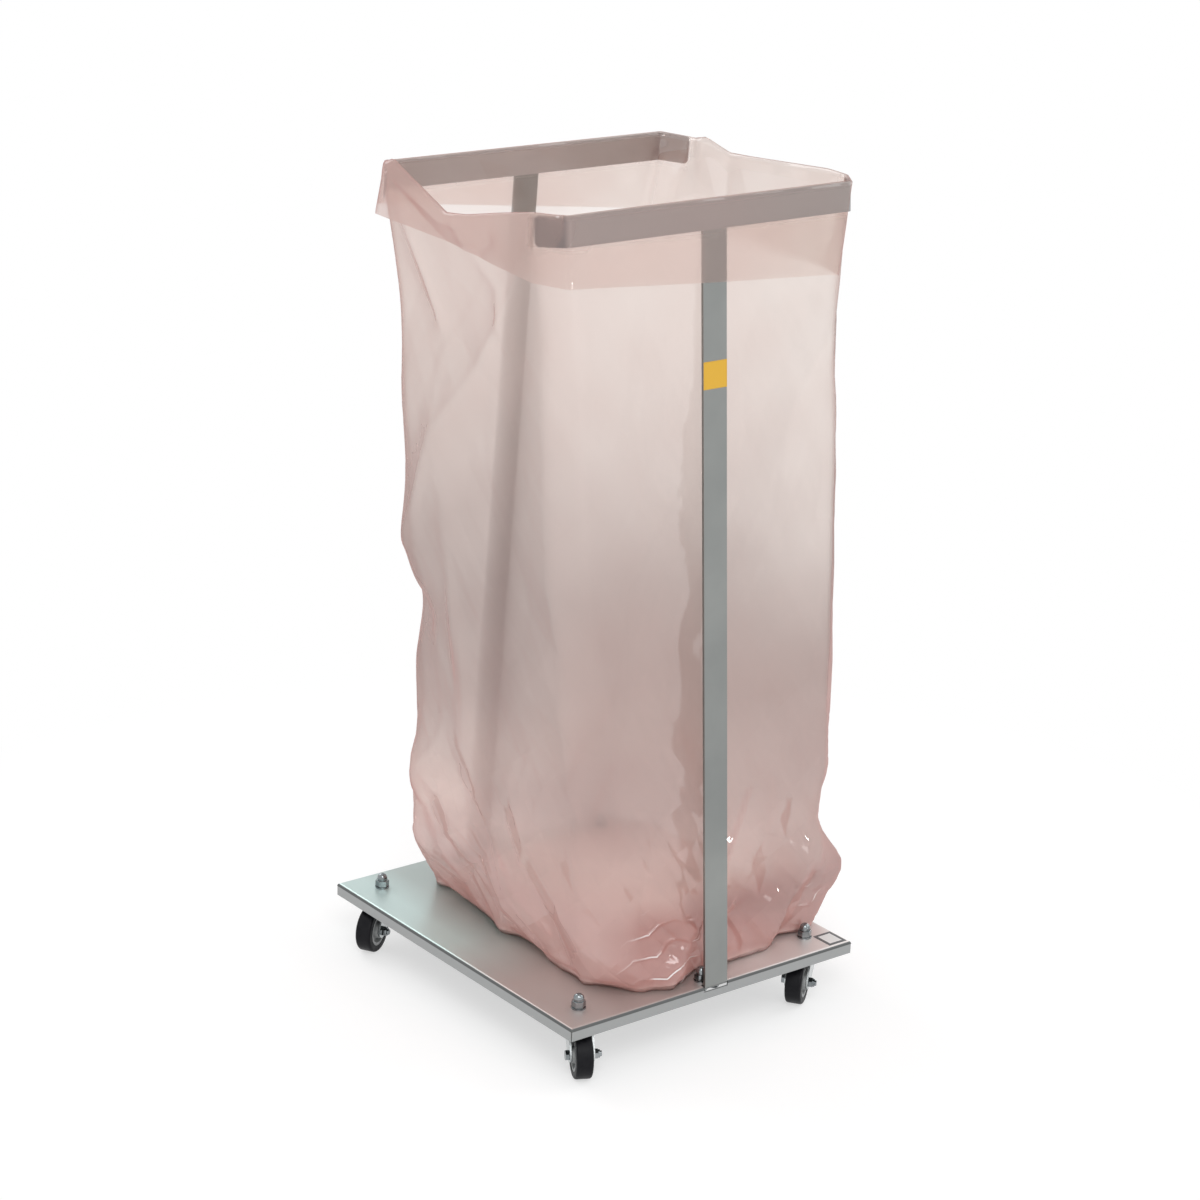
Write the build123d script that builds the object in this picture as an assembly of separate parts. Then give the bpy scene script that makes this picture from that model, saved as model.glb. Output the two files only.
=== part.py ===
"""Mobile bag stand: a folded sheet tray on four swivel castors, two T-shaped flat-bar frames
that lean in towards each other, and a film bag hung between them with its cuff over the bars.

Units are millimetres.  +Z is up, X runs along the rim bars, Y from the front frame to the rear
frame.  The origin is on the floor, under the centre of the tray.
"""
import os
from math import atan2, cos, degrees, pi, radians, sin, tan

from build123d import *

os.makedirs("parts", exist_ok=True)

# ---- Driving dimensions -------------------------------------------------------------------
# Tray: one sheet with its four edges folded down
tray_length = 380.0
tray_depth = 432.0
tray_sheet = 2.0
tray_bend_radius = 1.5
corner_seam = 0.8
skirt_tyre_gap = 2.0

# T-frames: flat bar, upright and rim bar butt-welded flush
bar_width = 30.0
bar_thickness = 3.0
bar_bend_radius = 3.0
rim_rise = 820.0
rim_lean = 62.0
rim_bar_length = 358.0
tab_length = 34.0
tab_turn = 55.0
tab_corner_radius = 5.0

# Foot of each upright: bent inwards, passed through a notch in the tray's edge, bolted under the deck
foot_bolt_setback = 15.5
foot_end_margin = 16.5
foot_washer_gap = 0.2
notch_clearance = 1.0

# M8 fasteners: domed cap nuts above the deck, hexagon bolts from below
m8_radius = 4.0
m8_hole_clearance = 0.2
m8_flats = 13.0
m8_head_height = 5.3
m8_nut_hex_height = 7.0
m8_nut_height = 15.0
m8_dome_radius = 5.6
m8_cap_wall = 3.0
m8_bolt_end_gap = 1.0
m8_washer_radius = 7.9
m8_washer_thickness = 1.6

# M6 axle bolts and lock nuts
m6_radius = 3.0
m6_flats = 10.0
m6_head_height = 4.0
m6_nut_height = 6.0
m6_nut_hex_height = 4.2
m6_nut_collar_radius = 4.4
m6_tail = 2.0
thread_clearance = 0.05

# Wheels
wheel_diameter = 50.0
wheel_width = 18.0
tyre_depth = 7.5
tyre_shoulder = 2.5
hub_rim_wall = 3.2
hub_rim_inset = 0.5
hub_recess = 5.0
hub_draft = 0.8
hub_boss_wall = 3.45
sleeve_wall = 1.95

# Castor forks and swivels
castor_inset = 36.0
castor_offset = 24.0
tyre_side_gap = 2.0
tyre_top_gap = 2.7
fork_plate = 2.0
fork_bend_radius = 1.0
fork_race_margin = 2.0
fork_root_width = 30.0
fork_eye_radius = 8.0
ball_ring_outer = 15.5
ball_ring_width = 5.0
ball_ring_height = 4.9
cup_plate = 2.0
cup_lip = 1.5
cup_ring_gap = 2.0
cup_fork_gap = 0.8
kingpin_wall = 1.8
kingpin_flange_lip = 3.5
kingpin_flange = 2.2

# Running clearances, on radius or along the axis
swivel_play = 0.1
wheel_play = 0.05
hub_side_play = 0.5

# Bag: a film shell that hangs inside the frames and folds back over the bars
film = 1.0
film_gap = 0.5
cuff_length = 82.0
bag_lift = 0.3
liner_relief = 6.0
side_sag_left = 34.0
side_sag_right = 8.0
sag_margin = 8.0

# Labels
label_thickness = 0.3
deck_label_depth = 27.0
deck_label_gap = 0.4
upright_label_height = 28.0
upright_label_rise = 632.0

# ---- Worked out from the above --------------------------------------------------------------
axle_height = wheel_diameter / 2
hub_radius = wheel_diameter / 2 - tyre_depth
fork_gap = wheel_width + 2 * tyre_side_gap
fork_outside = fork_gap / 2 + fork_plate
fork_race_radius = ball_ring_outer + fork_race_margin
sleeve_radius = m6_radius + wheel_play + sleeve_wall
hub_boss_radius = sleeve_radius + wheel_play + hub_boss_wall
m8_hole_radius = m8_radius + m8_hole_clearance
kingpin_radius = m8_hole_radius + kingpin_wall
cup_inner_radius = ball_ring_outer + cup_ring_gap

# stack of a castor, from the tyre's top up to the deck
kingpin_bottom = wheel_diameter + tyre_top_gap
kingpin_flange_top = kingpin_bottom + kingpin_flange
fork_under = kingpin_flange_top + swivel_play
fork_top = fork_under + fork_plate
cup_race = fork_top + ball_ring_height + swivel_play
deck_under = cup_race + cup_plate
deck_top = deck_under + tray_sheet

skirt_bottom = wheel_diameter + skirt_tyre_gap
half_length = tray_length / 2
half_depth = tray_depth / 2
deck_edge_radius = tray_bend_radius + tray_sheet
foot_length = foot_bolt_setback + foot_end_margin
foot_bolt_pitch = 2 * m8_washer_radius + foot_washer_gap
nut_seat = deck_top + m8_washer_thickness
bolt_tip = nut_seat + m8_nut_height - m8_cap_wall - m8_bolt_end_gap

rim_top = deck_top + rim_rise
lean_angle = degrees(atan2(rim_lean, rim_rise))
rim_half_spacing = half_depth - rim_lean
tab_reach_x = tab_length * cos(radians(tab_turn))
tab_reach_y = tab_length * sin(radians(tab_turn))
rim_reach = rim_bar_length / 2 + tab_reach_x

# name: (x side, y side, direction in which the wheel trails, degrees from +X)
castors = {
    "front_left": (-1, -1, 243.0),
    "front_right": (1, -1, 216.0),
    "rear_left": (-1, 1, 210.0),
    "rear_right": (1, 1, 60.0),
}


def save(name, *solids):
    """Write one node; several solids in one node are the copies of one fastener."""
    flat = [solid for item in solids for solid in item.solids()]
    shape = flat[0] if len(flat) == 1 else Compound(children=flat)
    shape.label = name
    export_step(shape, f"parts/{name}.step")


def cylinder(radius, low, high, x=0.0, y=0.0):
    """Upright cylinder between two heights."""
    return Pos(x, y, low) * Cylinder(radius, high - low, align=(Align.CENTER, Align.CENTER, Align.MIN))


def hexagon(flats, low, high):
    """Upright hexagonal prism, two flats facing +X and -X, its corners turned down at 30 degrees."""
    outline = RegularPolygon(flats / 2, 6, major_radius=False, rotation=30)
    prism = Pos(0, 0, low) * extrude(outline, high - low)
    corner = flats / 2 / cos(pi / 6)
    turn = corner - flats / 2
    drop = turn * tan(pi / 6)
    profile = Polyline(
        (0, low), (corner - turn, low), (corner, low + drop),
        (corner, high - drop), (corner - turn, high), (0, high), close=True,
    )
    turned = revolve(Plane.XZ * make_face(profile), Axis.Z)
    return prism & turned


# ---- Tray ------------------------------------------------------------------------------------
def rounded_slab(length, depth, low, high, radius):
    """Slab whose top edges all round carry the sheet's bend."""
    slab = Pos(0, 0, low) * Box(length, depth, high - low, align=(Align.CENTER, Align.CENTER, Align.MIN))
    return fillet(slab.faces().sort_by(Axis.Z)[-1].edges(), radius)


def foot_bolt_places():
    """Centres of the four foot bolts, two in each foot."""
    setback = half_depth - foot_bolt_setback
    return [(x, y) for y in (-setback, setback) for x in (-foot_bolt_pitch / 2, foot_bolt_pitch / 2)]


def castor_place(name):
    """Centre of one castor's stem in plan."""
    x_side, y_side, _ = castors[name]
    return x_side * (half_length - castor_inset), y_side * (half_depth - castor_inset)


def make_tray():
    outside = rounded_slab(tray_length, tray_depth, skirt_bottom, deck_top, deck_edge_radius)
    inside = rounded_slab(
        tray_length - 2 * tray_sheet, tray_depth - 2 * tray_sheet,
        skirt_bottom - 1, deck_under, tray_bend_radius,
    )
    tray = outside - inside
    # open seam where two folded skirts meet at each corner
    seam_top = deck_top - deck_edge_radius
    seam_height = seam_top - skirt_bottom + 1
    for x_side in (-1, 1):
        for y_side in (-1, 1):
            seam = Box(4 * tray_sheet, corner_seam, seam_height, align=(Align.CENTER, Align.CENTER, Align.MAX))
            turn = 45 if x_side == y_side else -45
            tray -= Pos(x_side * half_length, y_side * half_depth, seam_top) * Rot(0, 0, turn) * seam
    # notches for the two feet
    notch_reach = bar_thickness + bar_bend_radius + notch_clearance
    notch_low = deck_under - bar_thickness - notch_clearance
    for y_side in (-1, 1):
        notch = Box(bar_width + 2 * notch_clearance, 2 * notch_reach, deck_top - notch_low + 1,
                    align=(Align.CENTER, Align.CENTER, Align.MIN))
        tray -= Pos(0, y_side * half_depth, notch_low) * notch
    for x, y in foot_bolt_places() + [castor_place(name) for name in castors]:
        tray -= cylinder(m8_hole_radius, deck_under - 1, deck_top + 1, x, y)
    return tray


# ---- T-frames ----------------------------------------------------------------------------------
# The front frame is made first; the rear one is the same part turned half a turn about Z.
lean_plane = Plane(
    origin=(0, -half_depth, deck_top),
    x_dir=(1, 0, 0),
    z_dir=(0, -cos(radians(lean_angle)), sin(radians(lean_angle))),
)
slope_length = rim_rise / cos(radians(lean_angle))


def bend_strip(path, section_plane):
    """Flat bar along a path of straight runs and bends."""
    section = section_plane * Rectangle(bar_width, bar_thickness)
    return sweep(section, path)


def make_upright():
    """Upright with its lower end bent inwards to a foot that lies under the deck."""
    mid = bar_thickness / 2
    lean = radians(lean_angle)
    foot_z = deck_under - mid
    # where the bar's middle plane meets the foot's middle plane
    rise = foot_z - deck_top
    corner_y = -half_depth + rise * rim_lean / rim_rise + mid / cos(lean)
    top_run = slope_length - bar_width
    top_y = -half_depth + top_run * sin(lean) + mid * cos(lean)
    top_z = deck_top + top_run * cos(lean) - mid * sin(lean)
    path = FilletPolyline(
        (0, -half_depth + foot_length, foot_z), (0, corner_y, foot_z), (0, top_y, top_z),
        radius=bar_bend_radius + mid,
    )
    start = Plane(origin=path @ 0, x_dir=(1, 0, 0), z_dir=path % 0)
    upright = bend_strip(path, start)
    for x, y in foot_bolt_places()[:2]:
        upright -= cylinder(m8_hole_radius, deck_under - bar_thickness - 1, deck_under + 1, x, y)
    return upright


def make_rim_bar():
    """Rim bar with both ends bent inwards to short tabs with rounded corners."""
    mid = bar_thickness / 2
    turn = radians(tab_turn)
    # the bar's middle line, set in from its outer faces by half a thickness; inwards is +Y
    corner = (rim_bar_length / 2 - mid * tan(turn / 2), mid)
    tip = (rim_reach - mid * sin(turn), tab_reach_y + mid * cos(turn))
    points = [tip, corner, (-corner[0], corner[1]), (-tip[0], tip[1])]
    level = Plane(
        origin=lean_plane.from_local_coords((0, slope_length - bar_width / 2, 0)),
        x_dir=(1, 0, 0),
        z_dir=-lean_plane.y_dir,
    )
    path = FilletPolyline(
        *[level.from_local_coords((x, -y, 0)) for x, y in points],
        radius=bar_bend_radius + mid,
    )
    start = Plane(origin=path @ 0, x_dir=lean_plane.y_dir, z_dir=path % 0)
    bar = bend_strip(path, start)
    tips = bar.edges().filter_by(
        lambda edge: edge.geom_type == GeomType.LINE
        and abs(edge.length - bar_thickness) < 0.01
        and abs(edge.center().X) > rim_reach - tab_reach_x / 2
    )
    return fillet(tips, tab_corner_radius)


# ---- M8 fasteners -------------------------------------------------------------------------------
def m8_washer(low):
    washer = cylinder(m8_washer_radius, low, low + m8_washer_thickness)
    return washer - cylinder(m8_hole_radius, low - 1, low + m8_washer_thickness + 1)


def m8_cap_nut(low):
    """Domed cap nut: a hexagon, a neck and a round dome, with a blind hole."""
    top = low + m8_nut_height
    dome_centre = top - m8_dome_radius
    nut = hexagon(m8_flats, low, low + m8_nut_hex_height)
    nut += cylinder(m8_dome_radius, low, dome_centre)
    nut += Pos(0, 0, dome_centre) * Sphere(m8_dome_radius)
    return nut - cylinder(m8_radius + thread_clearance, low - 1, top - m8_cap_wall)


def m8_bolt(head_top, tip):
    """Hexagon bolt, head down."""
    return hexagon(m8_flats, head_top - m8_head_height, head_top) + cylinder(m8_radius, head_top, tip)


def copies(solid, places):
    return [Pos(x, y, 0) * solid for x, y in places]


# ---- Castor: made with its stem on the Z axis and its wheel trailing along +X --------------------
def make_cup():
    """Pressed upper race, seated on the underside of the deck."""
    outer = cup_inner_radius + cup_lip
    lip_bottom = fork_top + cup_fork_gap
    profile = Polyline(
        (m8_hole_radius, deck_under), (outer, deck_under), (outer, lip_bottom),
        (cup_inner_radius, lip_bottom), (cup_inner_radius, cup_race), (m8_hole_radius, cup_race), close=True,
    )
    return revolve(Plane.XZ * make_face(profile), Axis.Z)


def make_kingpin():
    """Hollow rivet that holds the fork up; the stem bolt passes through it."""
    flange = kingpin_radius + kingpin_flange_lip
    profile = Polyline(
        (m8_hole_radius, kingpin_bottom), (flange, kingpin_bottom), (flange, kingpin_flange_top),
        (kingpin_radius, kingpin_flange_top), (kingpin_radius, cup_race), (m8_hole_radius, cup_race),
        close=True,
    )
    return revolve(Plane.XZ * make_face(profile), Axis.Z)


def make_ball_ring():
    """Caged ball bearing, as one plain ring lying on the fork's race."""
    ring_top = fork_top + ball_ring_height
    ring = cylinder(ball_ring_outer, fork_top, ring_top)
    return ring - cylinder(ball_ring_outer - ball_ring_width, fork_top - 1, ring_top + 1)


def make_fork():
    """Stamped fork: a channel trimmed to a tapering leg each side, with a round race on top."""
    channel_low = axle_height - fork_eye_radius - 1
    channel_length = 2 * (castor_offset + fork_eye_radius + fork_root_width)
    channel_align = (Align.CENTER, Align.CENTER, Align.MIN)
    outer = Pos(0, 0, channel_low) * Box(
        channel_length, 2 * fork_outside, fork_top - channel_low, align=channel_align)
    outer = fillet(outer.edges().filter_by(Axis.X).group_by(Axis.Z)[-1], fork_bend_radius + fork_plate)
    inner = Pos(0, 0, channel_low - 1) * Box(
        channel_length + 2, fork_gap, fork_under - channel_low + 1, align=channel_align)
    inner = fillet(inner.edges().filter_by(Axis.X).group_by(Axis.Z)[-1], fork_bend_radius)
    # side view of a leg: wide at the race, narrowing to the round eye at the axle
    eye = Pos(castor_offset, axle_height) * Circle(fork_eye_radius)
    root_height = 4 * fork_plate
    root = Pos(0, fork_top - root_height / 2) * Rectangle(fork_root_width, root_height)
    outline = make_hull(eye.edges() + root.edges())
    trim = extrude(Plane.XZ * outline, fork_outside + 1, both=True)
    fork = (outer - inner) & trim
    fork += cylinder(fork_race_radius, fork_under, fork_top)
    fork -= cylinder(kingpin_radius + swivel_play, fork_under - 1, fork_top + 1)
    axle_hole = Pos(castor_offset, 0, axle_height) * Rot(90, 0, 0) * Cylinder(
        m6_radius + wheel_play, 2 * fork_outside + 2)
    return fork - axle_hole


def on_axle(solid):
    """Lay an upright solid along the axle, its +Z towards the nut side."""
    return Pos(castor_offset, 0, axle_height) * Rot(-90, 0, 0) * solid


def about_axle(profile):
    """Turn a profile drawn as (radius, distance along the axle) about the wheel's axle."""
    return on_axle(revolve(Plane.XZ * make_face(profile), Axis.Z))


def make_tyre():
    tyre = cylinder(wheel_diameter / 2, -wheel_width / 2, wheel_width / 2)
    tyre = fillet(tyre.edges(), tyre_shoulder)
    return on_axle(tyre - cylinder(hub_radius, -wheel_width, wheel_width))


def make_hub():
    """Hub with a web recessed on both sides between its rim and its boss."""
    bore = sleeve_radius + wheel_play
    boss_half = fork_gap / 2 - hub_side_play
    rim_half = wheel_width / 2 - hub_rim_inset
    web_half = rim_half - hub_recess
    ring = hub_radius - hub_rim_wall
    one_side = [
        (bore, boss_half), (hub_boss_radius, boss_half), (hub_boss_radius + hub_draft, web_half),
        (ring - hub_draft, web_half), (ring, rim_half), (hub_radius, rim_half),
    ]
    other_side = [(radius, -along) for radius, along in reversed(one_side)]
    return about_axle(Polyline(*one_side, *other_side, close=True))


def make_sleeve():
    half = fork_gap / 2
    inner = m6_radius + wheel_play
    return about_axle(Polyline(
        (inner, -half), (sleeve_radius, -half), (sleeve_radius, half), (inner, half), close=True))


def make_axle_bolt():
    head = hexagon(m6_flats, -fork_outside - m6_head_height, -fork_outside)
    tail = fork_outside + m6_nut_height + m6_tail
    return on_axle(head + cylinder(m6_radius, -fork_outside, tail))


def make_axle_nut():
    """Lock nut with a plain collar above its hexagon."""
    collar_start = fork_outside + m6_nut_hex_height
    top = fork_outside + m6_nut_height
    nut = hexagon(m6_flats, fork_outside, collar_start)
    nut += cylinder(m6_nut_collar_radius, collar_start, top)
    return on_axle(nut - cylinder(m6_radius + thread_clearance, fork_outside - 1, top + 1))


castor_pieces = {
    "cup": make_cup,
    "kingpin": make_kingpin,
    "ball_ring": make_ball_ring,
    "fork": make_fork,
    "axle_bolt": make_axle_bolt,
    "axle_nut": make_axle_nut,
    "axle_sleeve": make_sleeve,
    "hub": make_hub,
    "tyre": make_tyre,
}


# ---- Bag -----------------------------------------------------------------------------------------
def chamfered(z, x_low, x_high, y_low, y_high, cut_x, cut_y):
    """Level outline of the bag: a rectangle with its corners cut, always eight points."""
    return Plane.XY.offset(z) * make_face(Polyline(
        (x_low + cut_x, y_low), (x_high - cut_x, y_low), (x_high, y_low + cut_y),
        (x_high, y_high - cut_y), (x_high - cut_x, y_high), (x_low + cut_x, y_high),
        (x_low, y_high - cut_y), (x_low, y_low + cut_y), close=True,
    ))


def lean_out(z):
    """How far the T-frames stand out at a height, beyond their outer faces at the rim."""
    return (rim_top - z) * rim_lean / rim_rise


def rim_outline(z, grow, z_of_frame=None):
    """Outline through the frames' outer faces and the tips of the tabs, grown or shrunk."""
    y_out = rim_half_spacing + lean_out(z if z_of_frame is None else z_of_frame) + grow
    x_out = rim_reach + grow
    turn = radians(tab_turn)
    cut_x = tab_reach_x + grow * (1 - tan(turn / 2))
    cut_y = tab_reach_y + grow * (1 - tan((pi / 2 - turn) / 2))
    return chamfered(z, -x_out, x_out, -y_out, y_out, cut_x, cut_y)


# Below the rim the film hangs free.  Each row: share of the way from the deck up to the rim; how far the
# film stands in from the frames on the left, right, front and rear; corner cuts along X and along Y
bag_levels = [
    (0.000, 78.0, -2.0, 37.0, 37.0, 62.0, 36.0),
    (0.085, 51.0, -14.0, 27.0, 38.0, 50.0, 34.0),
    (0.244, 42.0, -8.0, 20.0, 33.0, 36.0, 32.0),
    (0.433, 48.0, 1.0, 16.0, 34.0, 30.0, 32.0),
    (0.660, 23.0, 6.0, 13.0, 22.0, 26.0, 30.0),
    (0.840, 16.0, 14.0, 6.0, 11.0, 24.0, 28.0),
]


def bag_body(inset, floor_lift, top):
    """Loft from the deck through the bag's levels up to the rim, inset by a wall thickness."""
    sections = []
    for share, left, right, front, rear, cut_x, cut_y in bag_levels:
        z = deck_top + bag_lift + max(share * rim_rise, floor_lift)
        # the frames' reach at this height: the tray's plan below, the rim's plan at the top
        x_frame = half_length + (rim_reach - half_length) * share - inset
        y_frame = rim_half_spacing + lean_out(z) - bar_thickness - inset
        sections.append(chamfered(
            z, left - x_frame, x_frame - right, front - y_frame, y_frame - rear, cut_x, cut_y))
    liner = -bar_thickness - film_gap - inset
    sections.append(rim_outline(rim_top - bar_width - liner_relief, liner))
    sections.append(rim_outline(top, liner))
    return loft(sections, ruled=True)


def make_bag():
    """Open-topped film shell: liner, fold over the bars and cuff outside them."""
    fold_low = rim_top + film_gap
    fold_top = fold_low + film
    cuff_low = rim_top - cuff_length
    outer = film_gap + film
    cuff_outside = loft([rim_outline(cuff_low, outer), rim_outline(fold_top, outer, rim_top)], ruled=True)
    cuff_inside = loft([rim_outline(cuff_low, film_gap), rim_outline(fold_low, film_gap, rim_top)], ruled=True)
    bag = (cuff_outside - cuff_inside) + bag_body(0.0, 0.0, fold_top)
    # between the tabs no bar keeps the two layers apart, so they lie together there, and their
    # free edge hangs in a shallow curve from tab to tab
    layers = bar_thickness + 2 * film_gap + film
    half_span = rim_half_spacing - tab_reach_y - sag_margin
    dips = []
    for side, sag in ((-1, side_sag_left), (1, side_sag_right)):
        band_height = sag + cuff_length / 4
        band = Pos(side * (rim_reach + outer - layers / 2 - film / 2), 0, fold_top) * Box(
            layers, 2 * half_span, band_height, align=(Align.CENTER, Align.CENTER, Align.MAX))
        bag += band & cuff_outside
        radius = (half_span ** 2 + sag ** 2) / (2 * sag)
        dip = Rot(0, 90, 0) * Cylinder(radius, 4 * layers)
        dips.append(Pos(side * rim_reach, 0, fold_top - sag + radius) * dip)
    return bag - bag_body(film, film, fold_top + 1) - dips


# ---- Labels --------------------------------------------------------------------------------------
def make_deck_label():
    """Label that fills the strip between a castor's washer and the bend of the deck's edge."""
    near_edge = half_length - castor_inset + m8_washer_radius + deck_label_gap
    far_edge = half_length - deck_edge_radius - deck_label_gap
    y = -half_depth + deck_edge_radius + deck_label_gap + deck_label_depth / 2
    return Pos((near_edge + far_edge) / 2, y, deck_top) * Box(
        far_edge - near_edge, deck_label_depth, label_thickness,
        align=(Align.CENTER, Align.CENTER, Align.MIN))


def make_upright_label():
    centre = upright_label_rise / cos(radians(lean_angle)) + upright_label_height / 2
    sheet = lean_plane * (Pos(0, centre) * Rectangle(bar_width, upright_label_height))
    return extrude(sheet, label_thickness)


# ---- Write every node ------------------------------------------------------------------------------
def main():
    half_turn = Rot(0, 0, 180)
    save("base_tray", make_tray())
    upright = make_upright()
    rim_bar = make_rim_bar()
    save("front_upright", upright)
    save("rear_upright", half_turn * upright)
    save("front_rim_bar", rim_bar)
    save("rear_rim_bar", half_turn * rim_bar)

    foot_places = foot_bolt_places()
    castor_places = [castor_place(name) for name in castors]
    save("foot_bolts", *copies(m8_bolt(deck_under - bar_thickness, bolt_tip), foot_places))
    save("foot_washers", *copies(m8_washer(deck_top), foot_places))
    save("foot_cap_nuts", *copies(m8_cap_nut(nut_seat), foot_places))
    save("castor_bolts", *copies(m8_bolt(kingpin_bottom, bolt_tip), castor_places))
    save("castor_washers", *copies(m8_washer(deck_top), castor_places))
    save("castor_cap_nuts", *copies(m8_cap_nut(nut_seat), castor_places))

    made = {piece: make() for piece, make in castor_pieces.items()}
    for name, (_, _, trail) in castors.items():
        x, y = castor_place(name)
        for piece, solid in made.items():
            save(f"{name}_{piece}", Pos(x, y, 0) * Rot(0, 0, trail) * solid)

    save("bag", make_bag())
    save("deck_label", make_deck_label())
    save("upright_label", make_upright_label())


main()
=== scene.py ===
"""Looks of the mobile bag stand: zinc-plated frame and castors, and the pink film bag.

Metres, in the frame of the CAD model: +Z up, X along the rim bars, Y from the front frame to the rear.
"""

import bpy
import numpy as np
from mathutils import Matrix, Vector


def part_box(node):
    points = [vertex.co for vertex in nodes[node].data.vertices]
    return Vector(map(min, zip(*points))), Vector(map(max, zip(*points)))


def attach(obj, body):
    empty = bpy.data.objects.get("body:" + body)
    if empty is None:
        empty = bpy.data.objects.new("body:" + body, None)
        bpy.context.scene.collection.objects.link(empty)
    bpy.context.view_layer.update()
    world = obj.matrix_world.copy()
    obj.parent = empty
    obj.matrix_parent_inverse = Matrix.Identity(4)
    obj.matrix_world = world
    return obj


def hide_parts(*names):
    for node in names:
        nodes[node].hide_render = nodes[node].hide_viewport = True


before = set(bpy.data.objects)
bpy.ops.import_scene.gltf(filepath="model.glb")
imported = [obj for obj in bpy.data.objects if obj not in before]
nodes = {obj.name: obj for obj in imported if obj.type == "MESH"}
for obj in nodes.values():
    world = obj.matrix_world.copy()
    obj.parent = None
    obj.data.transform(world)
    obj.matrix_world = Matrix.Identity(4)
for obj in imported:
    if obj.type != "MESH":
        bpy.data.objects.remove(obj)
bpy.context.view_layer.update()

# ---- Places taken from the frame ----------------------------------------------------------
tray_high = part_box("base_tray")[1]
rim_low, rim_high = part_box("front_rim_bar")
deck = tray_high.z
half_depth = tray_high.y
rim_top = rim_high.z
rim_rise = rim_top - deck
rim_reach = rim_high.x
# The frames lean in, so a rim bar's lower edge stands out a little further than its top edge
lower_edge_out = 0.002269
rim_half_depth = -rim_low.y - lower_edge_out
lean = (half_depth - rim_half_depth) / rim_rise
bar_thickness = 0.003
# How far the bent tab at each end of a rim bar reaches along X and along Y
tab_reach_x = 0.0195
tab_reach_y = 0.0279


# ---- Camera, floor and light ----------------------------------------------------------------
def make_camera():
    """A camera in front of the stand, to its left and a little above it.

    It looks along (sin yaw cos pitch, cos yaw cos pitch, -sin pitch), and is rolled about that line.
    """
    data = bpy.data.cameras.new("camera")
    camera = bpy.data.objects.new("camera", data)
    bpy.context.scene.collection.objects.link(camera)
    data.sensor_width = 36.0
    data.lens = 92.65
    stand_point = Vector((-1.9240, -2.4276, 1.4838))
    yaw, pitch, roll = 0.6695, 0.3287, -0.0364
    forward = np.array([np.sin(yaw) * np.cos(pitch), np.cos(yaw) * np.cos(pitch), -np.sin(pitch)])
    right = np.array([np.cos(yaw), -np.sin(yaw), 0.0])
    down = np.cross(forward, right)
    rolled_right = np.cos(roll) * right + np.sin(roll) * down
    rolled_down = np.cos(roll) * down - np.sin(roll) * right
    place = Matrix(np.stack([rolled_right, -rolled_down, -forward], axis=1).tolist()).to_4x4()
    place.translation = stand_point
    camera.matrix_world = place
    bpy.context.scene.camera = camera


def make_lamp(name, place, size, power):
    """A square lamp that faces the middle of the bag."""
    aim = Vector((0.0, 0.0, 0.45))
    data = bpy.data.lights.new(name, "AREA")
    data.size = size
    data.energy = power
    lamp = bpy.data.objects.new(name, data)
    bpy.context.scene.collection.objects.link(lamp)
    lamp.location = place
    lamp.rotation_euler = (aim - Vector(place)).to_track_quat("-Z", "Y").to_euler()


def white_to_camera(tree, shown, out_socket, dim_shader):
    """The shown shader for rays from the camera, through film and off metal, the dim one for all others."""
    path = tree.nodes.new("ShaderNodeLightPath")
    rays = tree.nodes.new("ShaderNodeMath")
    rays.operation = "MAXIMUM"
    more = tree.nodes.new("ShaderNodeMath")
    more.operation = "MAXIMUM"
    mix = tree.nodes.new("ShaderNodeMixShader")
    tree.links.new(path.outputs["Is Camera Ray"], rays.inputs[0])
    tree.links.new(path.outputs["Is Glossy Ray"], rays.inputs[1])
    tree.links.new(rays.outputs[0], more.inputs[0])
    tree.links.new(path.outputs["Is Transmission Ray"], more.inputs[1])
    tree.links.new(more.outputs[0], mix.inputs[0])
    tree.links.new(dim_shader.outputs[0], mix.inputs[1])
    tree.links.new(shown.outputs[0], mix.inputs[2])
    tree.links.new(mix.outputs[0], out_socket)


def make_world():
    """An even white surround, which lights the stand less brightly than it looks."""
    world = bpy.data.worlds.new("studio")
    bpy.context.scene.world = world
    world.use_nodes = True
    tree = world.node_tree
    tree.nodes.clear()
    out = tree.nodes.new("ShaderNodeOutputWorld")
    dim = tree.nodes.new("ShaderNodeBackground")
    dim.inputs["Color"].default_value = (1.0, 1.0, 1.0, 1.0)
    dim.inputs["Strength"].default_value = 0.62
    shown = tree.nodes.new("ShaderNodeBackground")
    shown.inputs["Color"].default_value = (1.0, 1.0, 1.0, 1.0)
    shown.inputs["Strength"].default_value = 1.0
    white_to_camera(tree, shown, out.inputs["Surface"], dim)


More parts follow.
